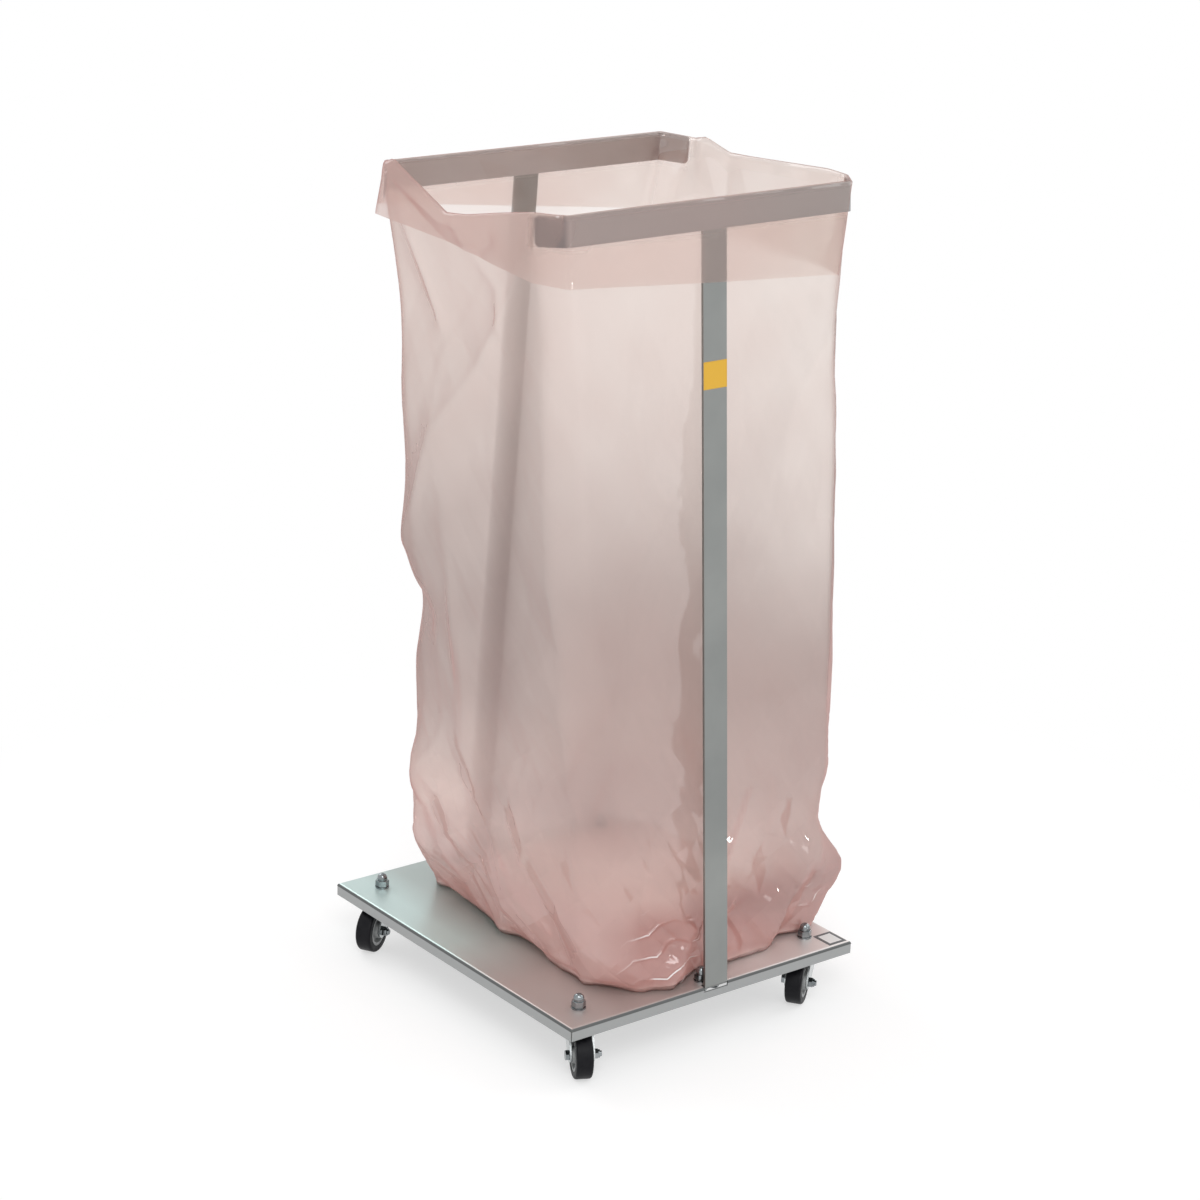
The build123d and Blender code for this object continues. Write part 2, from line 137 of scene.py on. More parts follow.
def make_floor():
    """A pale floor: near the stand its shadow shows faintly, and further out it is plain white."""
    size = 30.0
    shadow_reach, white_from = 0.35, 0.95
    mesh = bpy.data.meshes.new("floor")
    corners = [(-size, -size, 0.0), (size, -size, 0.0), (size, size, 0.0), (-size, size, 0.0)]
    mesh.from_pydata(corners, [], [(0, 1, 2, 3)])
    floor = bpy.data.objects.new("floor", mesh)
    bpy.context.scene.collection.objects.link(floor)
    mat = bpy.data.materials.new("floor_paint")
    mat.use_nodes = True
    tree = mat.node_tree
    paint = tree.nodes["Principled BSDF"]
    paint.inputs["Base Color"].default_value = (0.97, 0.97, 0.97, 1.0)
    paint.inputs["Roughness"].default_value = 0.9
    paint.inputs["Specular IOR Level"].default_value = 0.0
    paint.inputs["Emission Color"].default_value = (1.0, 1.0, 1.0, 1.0)
    paint.inputs["Emission Strength"].default_value = 0.14
    white = tree.nodes.new("ShaderNodeEmission")
    white.inputs["Color"].default_value = (1.0, 1.0, 1.0, 1.0)
    dim = tree.nodes.new("ShaderNodeEmission")
    dim.inputs["Strength"].default_value = 0.75
    place = tree.nodes.new("ShaderNodeTexCoord")
    distance = tree.nodes.new("ShaderNodeVectorMath")
    distance.operation = "LENGTH"
    fade = tree.nodes.new("ShaderNodeMapRange")
    fade.inputs["From Min"].default_value = shadow_reach
    fade.inputs["From Max"].default_value = white_from
    fade.inputs["To Min"].default_value = 0.5
    near = tree.nodes.new("ShaderNodeMixShader")
    seen = tree.nodes.new("ShaderNodeMixShader")
    tree.links.new(place.outputs["Object"], distance.inputs[0])
    tree.links.new(distance.outputs["Value"], fade.inputs["Value"])
    tree.links.new(fade.outputs["Result"], seen.inputs[0])
    tree.links.new(paint.outputs[0], seen.inputs[1])
    tree.links.new(white.outputs[0], seen.inputs[2])
    tree.links.new(fade.outputs["Result"], near.inputs[0])
    tree.links.new(paint.outputs[0], near.inputs[1])
    tree.links.new(dim.outputs[0], near.inputs[2])
    white_to_camera(tree, seen, tree.nodes["Material Output"].inputs["Surface"], near)
    mesh.materials.append(mat)


def make_studio():
    bpy.context.scene.view_settings.view_transform = "Standard"
    make_camera()
    make_world()
    make_floor()
    make_lamp("key", (-1.5, -2.2, 2.6), 1.6, 34.0)
    make_lamp("fill", (2.4, -0.9, 1.8), 1.6, 14.0)
    make_lamp("back", (-0.4, 2.6, 2.2), 1.8, 24.0)
    make_lamp("glint_front", (0.7, -2.8, 0.9), 0.16, 3.4)
    make_lamp("glint_right", (2.4, 0.8, 0.7), 0.20, 3.6)


# ---- Materials ----------------------------------------------------------------------------------
class Finish:
    """A material under construction: a Principled shader and short ways to add nodes to it."""

    def __init__(self, name):
        self.material = bpy.data.materials.new(name)
        self.material.use_nodes = True
        self.tree = self.material.node_tree
        self.shader = self.tree.nodes["Principled BSDF"]
        self.place = self.tree.nodes.new("ShaderNodeTexCoord").outputs["Object"]

    def set(self, **sockets):
        """Give constants to the shader's sockets, with _ for a space in their names."""
        for name, value in sockets.items():
            self.shader.inputs[name.replace("_", " ")].default_value = value
        return self

    def link(self, source, target):
        self.tree.links.new(source, target)

    def node(self, kind, **inputs):
        made = self.tree.nodes.new(kind)
        for name, value in inputs.items():
            made.inputs[name.replace("_", " ")].default_value = value
        return made

    def axes(self):
        """The place's X, Y and Z."""
        made = self.tree.nodes.new("ShaderNodeSeparateXYZ")
        self.link(self.place, made.inputs[0])
        return made.outputs

    def stretched(self, scale):
        mapping = self.node("ShaderNodeMapping")
        mapping.inputs["Scale"].default_value = scale
        self.link(self.place, mapping.inputs["Vector"])
        return mapping.outputs["Vector"]

    def noise(self, scale, detail=3.0, stretch=(1.0, 1.0, 1.0)):
        made = self.node("ShaderNodeTexNoise", Scale=scale, Detail=detail)
        self.link(self.stretched(stretch), made.inputs["Vector"])
        return made.outputs["Fac"]

    def ranged(self, value, low, high, start=0.3, end=0.7):
        """Straight from low to high while the value goes from start to end, and level beyond them."""
        made = self.node("ShaderNodeMapRange")
        for name, number in (("From Min", start), ("From Max", end), ("To Min", low), ("To Max", high)):
            made.inputs[name].default_value = number
        self.link(value, made.inputs["Value"])
        return made.outputs["Result"]

    def ramp(self, value, *stops):
        """Colours at positions from 0 to 1, blended between them."""
        made = self.tree.nodes.new("ShaderNodeValToRGB")
        elements = made.color_ramp.elements
        while len(elements) < len(stops):
            elements.new(0.5)
        for element, (position, colour) in zip(elements, stops):
            element.position = position
            element.color = (*colour, 1.0)
        self.link(value, made.inputs["Fac"])
        return made.outputs["Color"]

    def bump(self, height, strength, distance):
        made = self.node("ShaderNodeBump", Strength=strength, Distance=distance)
        self.link(height, made.inputs["Height"])
        self.link(made.outputs["Normal"], self.shader.inputs["Normal"])

    def attribute(self, name):
        made = self.tree.nodes.new("ShaderNodeAttribute")
        made.attribute_name = name
        return made.outputs["Fac"]

    def along(self, direction, wander):
        """Distance along a direction in metres, wandering by a slow noise."""
        made = self.tree.nodes.new("ShaderNodeVectorMath")
        made.operation = "DOT_PRODUCT"
        made.inputs[1].default_value = direction
        self.link(self.place, made.inputs[0])
        return self.maths("MULTIPLY_ADD", self.noise(5.0, 1.0), wander, made.outputs["Value"])

    def zigzag(self, distance, period):
        """A triangle wave of a distance: up from 0 to half the period and back."""
        return self.maths("PINGPONG", distance, period / 2)

    def maths(self, operation, *values):
        """One step of arithmetic on numbers and sockets."""
        made = self.tree.nodes.new("ShaderNodeMath")
        made.operation = operation
        for socket, value in zip(made.inputs, values):
            if isinstance(value, float):
                socket.default_value = value
            else:
                self.link(value, socket)
        return made.outputs[0]

    def mixed(self, share, first, second):
        """A mix of two shaders: all first where the share is 0, all second where it is 1."""
        made = self.tree.nodes.new("ShaderNodeMixShader")
        if isinstance(share, float):
            made.inputs[0].default_value = share
        else:
            self.link(share, made.inputs[0])
        self.link(first.outputs[0], made.inputs[1])
        self.link(second.outputs[0], made.inputs[2])
        return made

    def blend_colour(self, share, first, second):
        """From the first colour, which is a socket, to the second, which is a constant."""
        made = self.tree.nodes.new("ShaderNodeMix")
        made.data_type = "RGBA"
        self.link(share, made.inputs["Factor"])
        self.link(first, made.inputs[6])
        made.inputs[7].default_value = (*second, 1.0)
        return made.outputs[2]

    def colour(self, source):
        self.link(source, self.shader.inputs["Base Color"])

    def roughness(self, source):
        self.link(source, self.shader.inputs["Roughness"])


def zinc(name, dark, light, rough, streak, cloud_scale=9.0):
    """Zinc plate: soft clouds in the colour, streaks along the drawing direction in the roughness."""
    finish = Finish(name).set(Metallic=1.0)
    clouds = finish.noise(cloud_scale, 4.0)
    finish.colour(finish.ramp(clouds, (0.3, dark), (0.7, light)))
    streaks = finish.noise(90.0, 3.0, streak)
    finish.roughness(finish.ranged(streaks, rough - 0.05, rough + 0.05))
    return finish.material


def tray_zinc():
    """The tray's plate: cloudy on the deck, with a painted greenish reflection at the left rear, a painted
    pink reflection of the bag towards the front and a painted light patch at the front right, plainer and
    darker on the folded skirt as painted shade, and a painted dark reflection along the bend between."""
    finish = Finish("zinc_sheet").set(Metallic=0.55)
    x, y, z = finish.axes()
    fold = deck - 0.0035
    blend = 0.0003
    plate = finish.ramp(finish.noise(6.0, 4.0), (0.2, (0.36, 0.43, 0.415)), (0.8, (0.475, 0.53, 0.515)))
    skirt = finish.ranged(z, 1.0, 0.0, fold, fold + blend)
    # one darker colour on the folded skirt: painted shade on its side faces
    plate = finish.blend_colour(skirt, plate, (0.36, 0.37, 0.37))
    # greenish, pink and pale patches on the deck: painted reflections and painted light
    left_rear = finish.maths("MULTIPLY", finish.ranged(x, 0.5, 0.0, -0.160, -0.115),
                             finish.ranged(y, 0.0, 1.0, -0.09, 0.01))
    front = finish.ranged(y, 0.7, 0.0, -0.10, 0.02)
    front_right = finish.maths("MULTIPLY", finish.ranged(x, 0.0, 0.85, -0.04, 0.08),
                               finish.ranged(y, 1.0, 0.0, -0.14, -0.10))
    painted_green_reflection, painted_bag_reflection, painted_light_patch = (0.66, 0.84, 0.82), (0.56, 0.43, 0.41), (0.86, 0.82, 0.80)
    on_deck = finish.ranged(skirt, 1.0, 0.0, 0.0, 1.0)
    for share, colour in ((left_rear, painted_green_reflection), (front, painted_bag_reflection), (front_right, painted_light_patch)):
        plate = finish.blend_colour(finish.maths("MULTIPLY", share, on_deck), plate, colour)
    # a near-black band along the bend: a painted dark reflection
    low_edge = finish.ranged(z, 0.0, 1.0, fold - 0.0002, fold + 0.0002)
    high_edge = finish.ranged(z, 1.0, 0.0, deck - 0.0009, deck - blend)
    bend = finish.maths("MULTIPLY", low_edge, high_edge)
    finish.colour(finish.blend_colour(bend, plate, (0.11, 0.115, 0.115)))
    finish.roughness(finish.ranged(finish.noise(14.0, 1.0), 0.30, 0.42, 0.1, 0.9))
    return finish.material


def rim_zinc():
    """Brushed strip as on the uprights, with painted light on the rear bar, and painted shade, darker and
    cooler, on the front bar's left tab."""
    finish = Finish("rim_zinc").set(Metallic=1.0)
    x, y, _ = finish.axes()
    streaks = finish.noise(9.0, 4.0, (0.04, 1.0, 1.0))
    bar = finish.ramp(streaks, (0.3, (0.31, 0.30, 0.30)), (0.7, (0.37, 0.36, 0.36)))
    # painted light: the rear bar is made lighter
    rear = finish.ranged(y, 0.0, 0.8, -0.05, 0.05)
    bar = finish.blend_colour(rear, bar, (0.50, 0.485, 0.49))
    # painted shade: the front bar's left tab is made darker and cooler
    tab_end = tab_reach_x - rim_reach
    tab = finish.ranged(x, 1.0, 0.0, tab_end - 0.003, tab_end)
    front = finish.ranged(y, 1.0, 0.0, -0.05, 0.05)
    finish.colour(finish.blend_colour(finish.maths("MULTIPLY", tab, front), bar, (0.10, 0.105, 0.12)))
    finish.roughness(finish.ranged(streaks, 0.28, 0.38))
    return finish.material


def rubber():
    """Black rubber with a little dust, which dulls it in fine patches."""
    finish = Finish("tyre_rubber").set(Roughness=0.42, Specular_IOR_Level=0.16)
    dust = finish.noise(160.0, 4.0)
    finish.colour(finish.ramp(dust, (0.35, (0.004, 0.004, 0.006)), (0.75, (0.010, 0.010, 0.012))))
    finish.roughness(finish.ranged(dust, 0.34, 0.56))
    finish.bump(dust, 0.2, 0.0003)
    return finish.material


def hub_plastic():
    """Grey moulded plastic with a fine grain."""
    finish = Finish("hub_plastic").set(Roughness=0.45)
    grain = finish.noise(300.0, 2.0)
    finish.colour(finish.ramp(grain, (0.3, (0.30, 0.31, 0.31)), (0.7, (0.38, 0.39, 0.39))))
    finish.bump(grain, 0.12, 0.0002)
    return finish.material


def film_facets(finish):
    """Flat facets between straight creases: a sum of triangle waves along three directions."""
    waves = (((0.8, 0.3, 0.5), 0.060), ((-0.5, 0.6, 0.8), 0.085), ((0.3, -0.8, 0.6), 0.045))
    wander = 0.030
    heights = [finish.zigzag(finish.along(direction, wander), period) for direction, period in waves]
    return finish.maths("ADD", finish.maths("ADD", heights[0], heights[1]), heights[2])


def film_colour(finish, x, height, low_right, extra):
    """Painted light on the film lying on the deck, deep pink just above it, pale pink over that as a
    painted light band, painted shade halfway up and painted light towards the rim.

    It has painted shade, greyer, at the low right and painted light, paler, at the low left, and is pink
    where more film is in the line of sight.
    """
    by_height = finish.ramp(
        finish.ranged(height, 0.0, 1.0, 0.0, 0.9),
        (0.076, (0.90, 0.74, 0.69)), (0.084, (0.60, 0.30, 0.275)), (0.150, (0.53, 0.235, 0.215)),
        (0.185, (0.92, 0.70, 0.64)), (0.235, (0.90, 0.71, 0.66)), (0.285, (0.62, 0.48, 0.45)),
        (0.40, (0.38, 0.265, 0.245)), (0.55, (0.36, 0.25, 0.23)), (0.85, (0.74, 0.55, 0.50)),
    )
    # painted shade at the low right
    shaded = finish.blend_colour(low_right, by_height, (0.54, 0.41, 0.385))
    # painted light at the low left
    low_left = finish.maths("MULTIPLY", finish.ranged(x, 0.85, 0.0, -0.125, -0.080),
                            finish.ranged(height, 1.0, 0.0, 0.15, 0.20))
    shaded = finish.blend_colour(low_left, shaded, (0.88, 0.67, 0.64))
    return finish.blend_colour(finish.ranged(extra, 0.0, 1.0, 0.05, 0.6), shaded, (0.62, 0.36, 0.33))


# Where the film is crumpled into sharp ridges and carries the painted glint lines: the middle and radius of
# each sphere around it
crumpled_spheres = (
    ((-0.050, -0.184, 0.098), 0.060),
    ((0.160, -0.160, 0.100), 0.030),
    ((0.010, -0.180, 0.225), 0.014),
    ((0.200, -0.130, 0.520), 0.030),
)


def sharp_ridges(finish):
    """How far the nearest ridge line is in crumpled film, and how crumpled the film is.

    A distance across the film is bent to a zigzag by a triangle wave along it, and its own triangle wave is
    0 on each ridge.
    """
    bend_period, bend_slope, ridge_period = 0.056, 0.42, 0.024
    bends = finish.zigzag(finish.along((0.97, 0.0, 0.24), 0.016), bend_period)
    across = finish.maths("MULTIPLY_ADD", bends, bend_slope, finish.along((-0.24, 0.0, 0.97), 0.045))
    crumpled = None
    for middle, radius in crumpled_spheres:
        reach = finish.node("ShaderNodeVectorMath")
        reach.operation = "DISTANCE"
        reach.inputs[1].default_value = middle
        finish.link(finish.place, reach.inputs[0])
        inside = finish.ranged(reach.outputs["Value"], 1.0, 0.0, 0.5 * radius, radius)
        crumpled = inside if crumpled is None else finish.maths("MAXIMUM", crumpled, inside)
    return finish.zigzag(across, ridge_period), crumpled


def film():
    """Pink antistatic film: it blurs what is far behind it, is clear where it lies on a bar, and looks
    denser and pinker where it turns away from the eye or lies in several layers."""
    finish = Finish("bag_film").set(Roughness=0.5)
    x, _, height = finish.axes()
    facets_height = film_facets(finish)
    facing = finish.node("ShaderNodeLayerWeight", Blend=0.5).outputs["Facing"]
    turned = finish.ranged(facing, 0.0, 0.5, 0.42, 0.95)
    extra = finish.maths("MULTIPLY_ADD", finish.attribute("layers"), 0.38, turned)
    # painted shade low on the right, turning to painted light higher on the right
    low_right = finish.maths("MULTIPLY", finish.ranged(x, 0.0, 1.0, 0.02, 0.13),
                             finish.ranged(height, 0.7, -0.5, 0.29, 0.49))

    # haze: the share of light that the film scatters, more near the deck, more at the low right as painted
    # shade and less at the high right as painted light, and in patches that follow the facets
    patchy = finish.ranged(finish.noise(3.2, 1.0), 0.15, 1.0, 0.36, 0.62)
    usual_height = 0.047
    crumple = finish.maths("MULTIPLY", finish.maths("SUBTRACT", facets_height, usual_height), patchy)
    haze = finish.maths("MULTIPLY_ADD", low_right, 0.40, finish.ranged(height, 0.48, 0.18, 0.30, 0.80))
    share = finish.maths("MULTIPLY_ADD", crumple, 1.6, finish.maths("ADD", haze, extra))
    pink = film_colour(finish, x, height, low_right, extra)
    finish.colour(pink)
    # half of the scattered light comes from behind, but none through the film that lies on the deck
    through = finish.node("ShaderNodeBsdfTranslucent")
    finish.link(pink, through.inputs["Color"])
    scatter = finish.mixed(finish.ranged(height, 0.0, 0.5, 0.069, 0.076), finish.shader, through)

    # what passes straight on: blurred, or clear on the bars
    tint = (0.940, 0.888, 0.861, 1.0)
    blurred = finish.node("ShaderNodeBsdfRefraction", Roughness=0.9, IOR=1.06, Color=tint)
    clear = finish.node("ShaderNodeBsdfTransparent", Color=tint)
    see = finish.mixed(finish.ranged(finish.attribute("contact"), 0.3, 1.0, 0.0, 1.0), blurred, clear)
    body = finish.mixed(share, see, scatter)

    # relief: facets that deepen towards the deck and lie flat on it, and sharp ridges that catch the light
    gloss = finish.node("ShaderNodeBsdfGlossy", Roughness=0.06)
    low = finish.ranged(height, 1.0, 0.28, 0.15, 0.42)
    standing = finish.ranged(height, 0.04, 1.0, deck + 0.001, deck + 0.006)
    facet = finish.node("ShaderNodeBump", Strength=1.0, Distance=0.15)
    facet_height = finish.maths("MULTIPLY", facets_height, finish.maths("MULTIPLY", low, standing))
    finish.link(facet_height, facet.inputs["Height"])
    from_ridge, crumpled = sharp_ridges(finish)
    ridge = finish.ranged(from_ridge, 1.0, 0.0, 0.0, 0.0030)
    ridge.node.interpolation_type = "SMOOTHSTEP"
    crease = finish.node("ShaderNodeBump", Strength=1.0, Distance=0.0026)
    finish.link(finish.maths("MULTIPLY", ridge, crumpled), crease.inputs["Height"])
    finish.link(facet.outputs["Normal"], crease.inputs["Normal"])
    for shader, surface in ((gloss, crease), (finish.shader, facet), (through, facet)):
        finish.link(surface.outputs["Normal"], shader.inputs["Normal"])

    # painted glints: thin white lines of a white diffuse shader, broken by noise, along the sharpest ridges
    broken = finish.ranged(finish.noise(20.0, 0.0), 0.0, 0.85, 0.44, 0.54)
    line = finish.ranged(from_ridge, 1.0, 0.0, 0.0004, 0.0012)
    line = finish.maths("MULTIPLY", line, finish.maths("MULTIPLY", broken, crumpled))
    painted_glint = finish.node("ShaderNodeBsdfDiffuse", Color=(0.98, 0.95, 0.94, 1.0))
    gloss_share = 0.09
    whole = finish.mixed(gloss_share, finish.mixed(line, body, painted_glint), gloss)
    finish.link(whole.outputs[0], finish.tree.nodes["Material Output"].inputs["Surface"])
    return finish.material


def plain_label(name, field, edge_colour, low, high, border, across, along):
    """A label with a border: its field is where the place is further than that from all four edges."""
    finish = Finish(name).set(Roughness=0.35)
    place = finish.axes()
    inside = 1.0
    for axis, start, end in ((across, low[0], high[0]), (along, low[1], high[1])):
        inside = finish.maths("MULTIPLY", inside, finish.maths("GREATER_THAN", place[axis], start + border))
        inside = finish.maths("MULTIPLY", inside, finish.maths("LESS_THAN", place[axis], end - border))
    finish.colour(finish.ramp(inside, (0.0, edge_colour), (1.0, field)))
    return finish.material


def dress(material, *names):
    """Give a material to all slots of the named nodes."""
    for name in names:
        for place in nodes[name].material_slots:
            place.material = material


def finish_metal():
    deck_zinc = tray_zinc()
    bar_zinc = zinc("zinc_bar", (0.245, 0.255, 0.25), (0.31, 0.32, 0.31), 0.33, (1.0, 1.0, 0.04))
    bolt_zinc = zinc("zinc_fastener", (0.17, 0.19, 0.20), (0.34, 0.36, 0.37), 0.16, (1.0, 1.0, 1.0), 60.0)
    castor_zinc = zinc("castor_zinc", (0.50, 0.53, 0.54), (0.66, 0.68, 0.68), 0.24, (1.0, 1.0, 1.0), 30.0)
    dress(deck_zinc, "base_tray")
    dress(bar_zinc, "front_upright", "rear_upright")
    dress(rim_zinc(), "front_rim_bar", "rear_rim_bar")
    for group in ("foot", "castor"):
        dress(bolt_zinc, f"{group}_bolts", f"{group}_washers", f"{group}_cap_nuts")
    black, grey = rubber(), hub_plastic()
    for corner in ("front_left", "front_right", "rear_left", "rear_right"):
        dress(castor_zinc, f"{corner}_cup", f"{corner}_kingpin", f"{corner}_fork", f"{corner}_ball_ring")
        dress(bolt_zinc, f"{corner}_axle_bolt", f"{corner}_axle_nut", f"{corner}_axle_sleeve")
        dress(grey, f"{corner}_hub")
        dress(black, f"{corner}_tyre")


def finish_labels():
    low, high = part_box("deck_label")
    white, dark = (0.80, 0.80, 0.79), (0.10, 0.105, 0.11)
    dress(plain_label("deck_label", white, dark, low.xy, high.xy, 0.0035, 0, 1), "deck_label")
    low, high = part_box("upright_label")
    yellow, edge = (0.74, 0.42, 0.03), (0.68, 0.38, 0.03)
    corners = ((low.x, low.z), (high.x, high.z))
    dress(plain_label("upright_label", yellow, edge, *corners, 0.001, 0, 2), "upright_label")


# ---- The film bag --------------------------------------------------------------------------------
# Samples along the front face, a tab, the right face and a tab, and as many again for the rest of the way
around = (66, 7, 47, 7)
# Rows of film in the cuff, in the liner and across the bottom
cuff_count, liner_count, bottom_count = 16, 190, 25
# Film further from the middle than this along Y lies on a rim bar or its tabs
bar_from = 0.118
# Height above the deck, reach to the left, right, front and rear, and the corners' cut in X and in Y
film_levels = np.array([
    (0.000, 0.114, 0.206, 0.181, 0.180, 0.036, 0.034),
    (0.020, 0.121, 0.212, 0.184, 0.182, 0.036, 0.030),
    (0.070, 0.139, 0.207, 0.184, 0.176, 0.036, 0.030),
    (0.140, 0.144, 0.197, 0.180, 0.168, 0.034, 0.030),
    (0.244, 0.147, 0.202, 0.177, 0.163, 0.030, 0.030),
    (0.355, 0.159, 0.200, 0.169, 0.150, 0.028, 0.030),
    (0.440, 0.172, 0.198, 0.164, 0.149, 0.026, 0.030),
    (0.540, 0.177, 0.197, 0.159, 0.148, 0.024, 0.030),
    (0.690, 0.182, 0.191, 0.156, 0.150, 0.022, 0.028),
    (0.785, 0.1945, 0.1945, 0.1525, 0.1525, 0.0178, 0.0254),
    (0.820, 0.1950, 0.1950, 0.1503, 0.1503, 0.0178, 0.0254),
])


def outline(height, reach_left, reach_right, reach_front, reach_rear, cut_x, cut_y):
    """Eight-cornered outlines, one per row, sampled at fixed shares of each edge.

    Each edge from corner A to corner B gives A + (B - A) t for evenly spaced t from 0 up to 1.
    """
    left, right, front, rear = -reach_left, reach_right, -reach_front, reach_rear
    corners = np.stack([
        np.stack([left + cut_x, front], -1), np.stack([right - cut_x, front], -1),
        np.stack([right, front + cut_y], -1), np.stack([right, rear - cut_y], -1),
        np.stack([right - cut_x, rear], -1), np.stack([left + cut_x, rear], -1),
        np.stack([left, rear - cut_y], -1), np.stack([left, front + cut_y], -1),
    ], axis=1)
    runs = []
    for edge, count in enumerate(around * 2):
        a, b = corners[:, edge, None], corners[:, (edge + 1) % 8, None]
        t = np.arange(count)[None, :, None] / count
        runs.append(a + (b - a) * t)
    flat = np.concatenate(runs, axis=1)
    z = np.broadcast_to(np.asarray(height)[:, None, None], flat.shape[:2] + (1,))
    return np.concatenate([flat, z], axis=2)


def blur(grid, spread, axis, wrap):
    """Gaussian average along one axis of a grid, wrapping round or holding its ends."""
    reach = int(3 * spread + 1)
    steps = np.arange(-reach, reach + 1)
    weights = np.exp(-0.5 * (steps / spread) ** 2)
    weights /= weights.sum()
    count = grid.shape[axis]
    total = np.zeros_like(grid)
    for step, weight in zip(steps, weights):
        index = np.arange(count) + step
        index = index % count if wrap else np.clip(index, 0, count - 1)
        total += weight * np.take(grid, index, axis=axis)
    return total


def rim_dip(x, y):
    """How far the film's fold stands above the bars: it sags between the tabs on both free sides.

    The sag runs straight between the points given along Y, and grows from nothing to its whole over 18 mm
    before each side.
    """
    left_y = (-0.126, -0.066, -0.015, 0.020, 0.112, 0.135)
    left_rise = (0.0, -0.012, -0.023, -0.027, 0.010, 0.002)
    right_y = (-0.126, -0.099, 0.020, 0.058, 0.098, 0.116)
    right_rise = (0.0, 0.001, -0.007, -0.009, 0.001, -0.003)
    at_side = np.clip((np.abs(x) - rim_reach + 0.022) / 0.018, 0.0, 1.0)
    return np.where(x < 0, np.interp(y, left_y, left_rise), np.interp(y, right_y, right_rise)) * at_side


def hem_height(x, y):
    """Height of the cuff's hem above the deck: highest at the rear left corner.

    It runs straight between the heights given along the front and the rear, and from front to rear.
    """
    front = np.interp(x, (-0.18, 0.0, 0.18), (0.751, 0.738, 0.727))
    rear = np.interp(x, (-0.18, 0.18), (0.776, 0.735))
    share = np.clip((y + 0.15) / 0.30, 0.0, 1.0)
    return front * (1 - share) + rear * share


def slant_foot(liner):
    """Near the deck the left side slants in towards the rear, and the front slants in towards the right and
    stands out a little left of its middle.

    Both fade out over 90 mm of height. The left side moves in proportion to Y and to its distance from the
    middle. The front moves in proportion to X beyond 80 mm, less a bump exp(-((x + 0.01) / 0.05)^2).
    """
    x, y = liner[:, :, 0].copy(), liner[:, :, 1].copy()
    low = np.clip(1 - (liner[:, :, 2] - deck) / 0.09, 0, 1)
    liner[:, :, 0] += 0.013 * low * np.clip((y + 0.13) / 0.18, 0, 1) * np.clip(-x / 0.09, 0, 1)
    front = 0.216 * np.clip(x - 0.08, 0, 1) - 0.005 * np.exp(-((x + 0.01) / 0.05) ** 2)
    liner[:, :, 1] += front * low * np.clip(-y / 0.14, 0, 1)
    return liner


def liner_rows():
    """Inner film from the rim down to the deck: outlines between the film's levels.

    The corners are rounded by an average over neighbouring samples, from 30 mm below the rim, fully from
    110 mm on. The rim's sag fades out over 220 mm.
    """
    fall = np.linspace(rim_rise, 0.0, liner_count)
    reach = [np.interp(fall, film_levels[:, 0], film_levels[:, k]) for k in range(1, 7)]
    liner = slant_foot(outline(deck + fall, *reach))
    spread_around, spread_down = 1.3, 2.0
    soft = blur(blur(liner, spread_around, 1, True), spread_down, 0, False)
    ease = np.clip((rim_rise - fall - 0.03) / 0.08, 0.0, 1.0)[:, None, None]
    liner = liner * (1 - ease) + soft * ease
    near_rim = np.clip(1 - (rim_top - liner[:, :, 2]) / 0.22, 0.0, 1.0)
    liner[:, :, 2] += rim_dip(liner[:, :, 0], liner[:, :, 1]) * near_rim
    return liner


def cuff_rows():
    """Outer film from the hem up to the fold: it leans as the bars do, flares at the rear left corner and
    is tucked in at the right.

    Each row stands a share of the way from the hem to the fold. The flare and the tuck fade out upwards.
    As the rows go up, their normals point inwards, and the creases are pushed the other way.
    """
    gap = 0.0009
    share = np.linspace(0.0, 1.0, cuff_count)
    one = np.ones(1)
    side, face = one * (rim_reach + gap), one * (rim_half_depth + gap)
    ring = outline(one * rim_top, side, side, face, face, one * tab_reach_x, one * tab_reach_y)
    cuff = np.repeat(ring, cuff_count, axis=0)
    x, y = cuff[:, :, 0].copy(), cuff[:, :, 1].copy()
    hem, top = deck + hem_height(x, y), rim_top + rim_dip(x, y)
    cuff[:, :, 2] = hem + (top - hem) * share[:, None]
    toward = np.clip(np.abs(y) / rim_half_depth * 6 - 5, 0, 1) * np.sign(y)
    cuff[:, :, 1] += toward * (rim_top - cuff[:, :, 2]).clip(0) * lean
    flare = 0.010 * np.exp(-((y - 0.145) / 0.07) ** 2) * np.clip(-x / rim_reach * 4 - 3, 0, 1)
    tuck = 0.028 * np.clip(x / rim_reach * 4 - 3, 0, 1)
    cuff[:, :, 0] -= (flare + tuck) * (1 - share[:, None])
    return cuff - outward(cuff) * crease_push(cuff, cuff_creases)[:, :, None]


